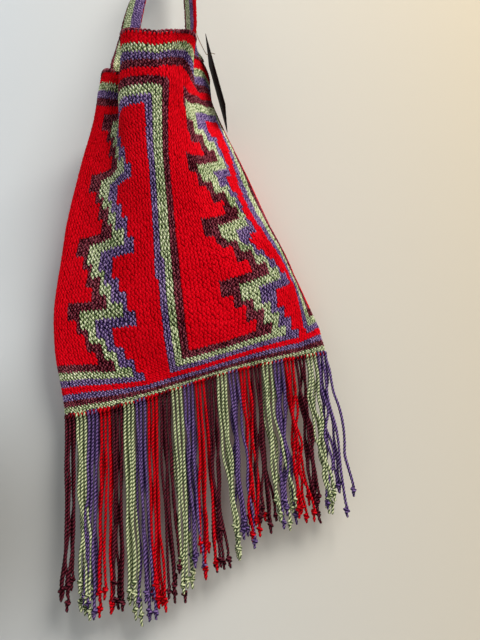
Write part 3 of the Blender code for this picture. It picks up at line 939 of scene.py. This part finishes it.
def build_stitches():
    """Every stitch of the cloth's outer face, one object to a colour, red in two."""
    cols, rows = grid(STITCHES_ROUND, ROWS)
    colour = pattern(cols, rows)
    made = []
    for index, name in enumerate(NAMES):
        chosen = colour == index
        groups = {"": chosen}
        if name == "red":
            groups = {"_upper": chosen & (rows < ROWS // 2), "_lower": chosen & (rows >= ROWS // 2)}
        for suffix, mask in groups.items():
            reach, width, depth = STROKES[name]
            run = [share * reach for share in STROKE_RUN]
            side = [share * width for share in STROKE_SIDE]
            verts, faces, coords = stroke_mesh(cloth, cols[mask] + 0.5, rows[mask] + 0.5, run, side,
                                               STITCH_LIFT, 100 + index, depth=depth)
            obj = mesh_object("stitches_" + name + suffix, verts, faces, [yarns[index]], uvs=coords)
            made.append(obj)
    return made


def build_inner_stitches():
    """Stitches of the inner face near the mouth, where it can be seen into."""
    cols, rows = grid(STITCHES_ROUND, INSIDE_ROWS)

    def inside(u, v, lift):
        return cloth(u, v, INSIDE_FACE - lift)

    return coloured_strokes("stitches_inside", [(inside, INSIDE_LIFT, True)], cols + 0.5, rows + 0.5,
                            pattern(cols, rows), *INSIDE_STROKE, 200)


def build_rim():
    """Maroon loops over the mouth's edge, from the outer face to the inner one."""
    rng = random.Random(31)
    parts = []
    columns, rows, lifts = np.array(RIM_LOOP).T
    for i in range(STITCHES_ROUND):
        start = i + 0.15 + rng.uniform(-0.08, 0.08)
        line = through(cloth(start + columns, rows, lifts * MM), RIM_RING)
        radii = np.full(len(line), RIM_RADIUS)
        parts.append(sweep(line, radii, RIM_SECTION, RIM_TURN, rng.uniform(0, 6), RIM_RING))
    verts, faces, coords = joined(parts)
    return mesh_object("stitches_rim", verts, faces, [yarns[MAROON]], uvs=coords)


def build_strap():
    """Closed band under the strap's stitches, and the stitches of both its faces."""
    u, v = np.meshgrid(np.arange(STRAP_ROWS + 1), np.linspace(0, STRAP_STITCHES, STRAP_STITCHES // 2 + 1))
    count = u.size
    outer = strap_surface(u.ravel(), v.ravel(), np.full(count, STRAP_BAND_OUTER))
    inner = strap_surface(u.ravel(), v.ravel(), np.full(count, STRAP_BAND_INNER))
    ids = np.arange(count).reshape(u.shape)
    faces = np.stack((ids[:-1, :-1], ids[:-1, 1:], ids[1:, 1:], ids[1:, :-1]), axis=-1).reshape(-1, 4)
    cells = len(ids) - 1
    colour = np.tile(STRIPES, cells)
    sides, side_colour = [], []
    for line, colours, order in ((ids[:, 0], [MAROON] * cells, 1), (ids[:, -1], [RED] * cells, -1),
                                 (ids[0], STRIPES, -1), (ids[-1], STRIPES, 1)):
        sides += [(a, b, b + count, a + count)[::order] for a, b in zip(line, line[1:])]
        side_colour += colours
    faces = np.concatenate((faces, faces[:, ::-1] + count, np.array(sides)))
    index = np.concatenate((colour, colour, side_colour))
    # The band under the strap's stitches uses the darker copies: painted shade between the stitches
    band = mesh_object("strap_cloth", np.concatenate((outer, inner)), faces, painted_shade_cores, index)

    def inside(u, v, lift):
        return strap_surface(u, v, STRAP_INSIDE_FACE - lift)

    cols, rows = grid(STRAP_STITCHES, STRAP_ROWS)
    sheets = [(strap_surface, STRAP_STITCH_LIFT, False), (inside, STRAP_STITCH_LIFT, True)]
    stitches = coloured_strokes("strap_stitches", sheets, rows + 0.5, cols + 0.5, np.array(STRIPES)[rows],
                                *STRAP_STROKE, 300)
    return band, stitches


def build_fringe():
    """Bunches of three doubled cords, each two-ply and knotted at its end."""
    rng = random.Random(FRINGE_SEED)
    ends_x = [x * MM for x, _ in FRINGE_ENDS]
    ends_z = [z * MM for _, z in FRINGE_ENDS]
    made = []
    for b in range(BUNCHES):
        colour = CORD_ORDER[b % 4]
        drift, curve, phase = rng.uniform(-2.2, 2.2), rng.uniform(0.6, 2.0), rng.uniform(0, 6.28)

        def sway(t, drift=drift, curve=curve, phase=phase):
            return (drift * t * t + curve * (math.sin(4.2 * t + phase) - math.sin(phase)) * t) * MM

        parts = []
        low = rng.uniform(-8, -4)
        for layer in (False, True):
            for k in range(CORDS_PER_BUNCH):
                lane = (k - 1) * CORD_LANE
                stitch = STITCHES_ROUND / 2 * (b + (k + 0.5) / CORDS_PER_BUNCH) / BUNCHES
                x = bag_points(np.array([stitch]), np.array([float(ROWS)]))[0][0]
                end = float(np.interp(x, ends_x, ends_z)) + (low + 30 * rng.random() ** 1.5) * MM
                line = through(cord_route(stitch, layer, lane, sway, end, rng), CORD_RING)
                swell = 1 + 0.04 * np.sin(np.arange(len(line)) * 0.11 + rng.uniform(0, 6))
                radii = np.full(len(line), CORD_RADIUS) * swell
                radii[:8] *= np.linspace(0.7, 1.0, 8)
                radii[-4:] *= (1.0, 0.95, 0.8, 0.5)
                parts.append(sweep(line, radii, CORD_SECTION, CORD_TURN, rng.uniform(0, 6.28), CORD_RING))
        verts, faces, coords = joined(parts)
        name = f"cords_{b + 1:02d}_{colour}"
        obj = mesh_object(name, verts, faces, [strands[colour]], uvs=coords)
        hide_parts(f"fringe_bunch_{b + 1:02d}_{colour}")
        made.append(obj)
    return made


def build_thread():
    """Route of the tan thread from the strap's front edge through the card's hole, and its length."""
    hang = np.array(TAG_HANG)
    down = np.array((math.sin(TAG_LEAN), 0.0, -math.cos(TAG_LEAN)))
    normal = np.array((math.cos(TAG_LEAN), 0.0, math.sin(TAG_LEAN)))
    edge = strap_points(np.array([0.5]), np.array([THREAD_SHARE]))[0]
    start = edge + np.array(THREAD_START) * MM
    seat = hang + down * THREAD_SEAT * MM
    route = [start, start + np.array(THREAD_LOOP) * MM, seat - normal * THREAD_HOLE_RUN, seat]
    for reach, fall in THREAD_PAST:
        route.append(seat + normal * reach * MM - np.array(fall) * MM)
    line = through(route, THREAD_RING)
    return line, float(np.linalg.norm(np.diff(line, axis=0), axis=1).sum())


def build_cloth():
    """All the wool: cloth, stitches, rim, fringe and strap, on the bag's body."""
    shell = build_shell()
    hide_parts("bag_body")
    stitches = build_stitches()
    inside = build_inner_stitches()
    rim = build_rim()
    fringe = build_fringe()
    band, strap_stitches = build_strap()
    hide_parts("strap")
    for obj in [shell, *stitches, inside, rim, *fringe, band, strap_stitches]:
        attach(obj, "bag")


build_cloth()

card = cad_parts["swing_tag"]
card.data.materials.clear()
card.data.materials.append(card_material())

thread_line, thread_length = build_thread()
tan = wool("tan_thread", ((120, 84, 48), (186, 146, 96), (226, 196, 150)), ply_painted_shade=0.4)
thread_radii = np.full(len(thread_line), THREAD_RADIUS)
verts, faces, coords = sweep(thread_line, thread_radii, THREAD_SECTION, THREAD_TURN, 0.0, THREAD_RING)
thread = mesh_object("tag_string", verts, faces, [tan], uvs=coords)
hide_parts("tag_thread")
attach(thread, "bag")


# Stage, lamps and camera

def stage_plane(name, corners, mat):
    mesh = bpy.data.meshes.new(name)
    mesh.from_pydata(corners, [], [(0, 1, 2, 3)])
    mesh.materials.append(mat)
    return added(name, mesh)


def lamp(name, place, target, size, power, colour):
    data = bpy.data.lights.new(name, "AREA")
    data.shape = "DISK"
    data.size = size
    data.energy = power
    data.color = colour
    obj = added(name, data)
    obj.location = place
    obj.rotation_mode = "QUATERNION"
    obj.rotation_quaternion = (Vector(target) - Vector(place)).to_track_quat("-Z", "Y")


left, right = -STAGE_HALF, STAGE_HALF
wall_corners = [(left, WALL_Y, FLOOR_Z), (right, WALL_Y, FLOOR_Z), (right, WALL_Y, WALL_TOP), (left, WALL_Y, WALL_TOP)]
front, back = -STAGE_DEPTH, STAGE_DEPTH
floor_corners = [(left, front, FLOOR_Z), (right, front, FLOOR_Z), (right, back, FLOOR_Z), (left, back, FLOOR_Z)]
wall = stage_plane("wall", wall_corners, wall_material())
floor = stage_plane("floor", floor_corners, floor_material())
for name, settings in LAMPS.items():
    lamp(name, *settings)

world = bpy.data.worlds.new("studio")
world.use_nodes = True
background = world.node_tree.nodes["Background"]
background.inputs["Color"].default_value = WORLD_COLOUR
background.inputs["Strength"].default_value = WORLD_STRENGTH
bpy.context.scene.world = world

camera_data = bpy.data.cameras.new("camera")
camera_data.lens = CAMERA_LENS
camera_data.sensor_width = CAMERA_SENSOR
camera_data.clip_start = 0.01
camera = added("camera", camera_data)
upward = Vector((0.0, -math.sin(PITCH), math.cos(PITCH)))
sideways = Vector((1.0, 0.0, 0.0))
forward = Vector((0.0, math.cos(PITCH), math.sin(PITCH)))
rolled_up = ROLL[0] * upward + ROLL[1] * sideways
rolled_right = ROLL[0] * sideways - ROLL[1] * upward
camera.rotation_mode = "QUATERNION"
camera.rotation_quaternion = Matrix((rolled_right, rolled_up, -forward)).transposed().to_quaternion()
camera.location = CAMERA_AT
bpy.context.scene.camera = camera
bpy.context.scene.view_settings.view_transform = "Standard"
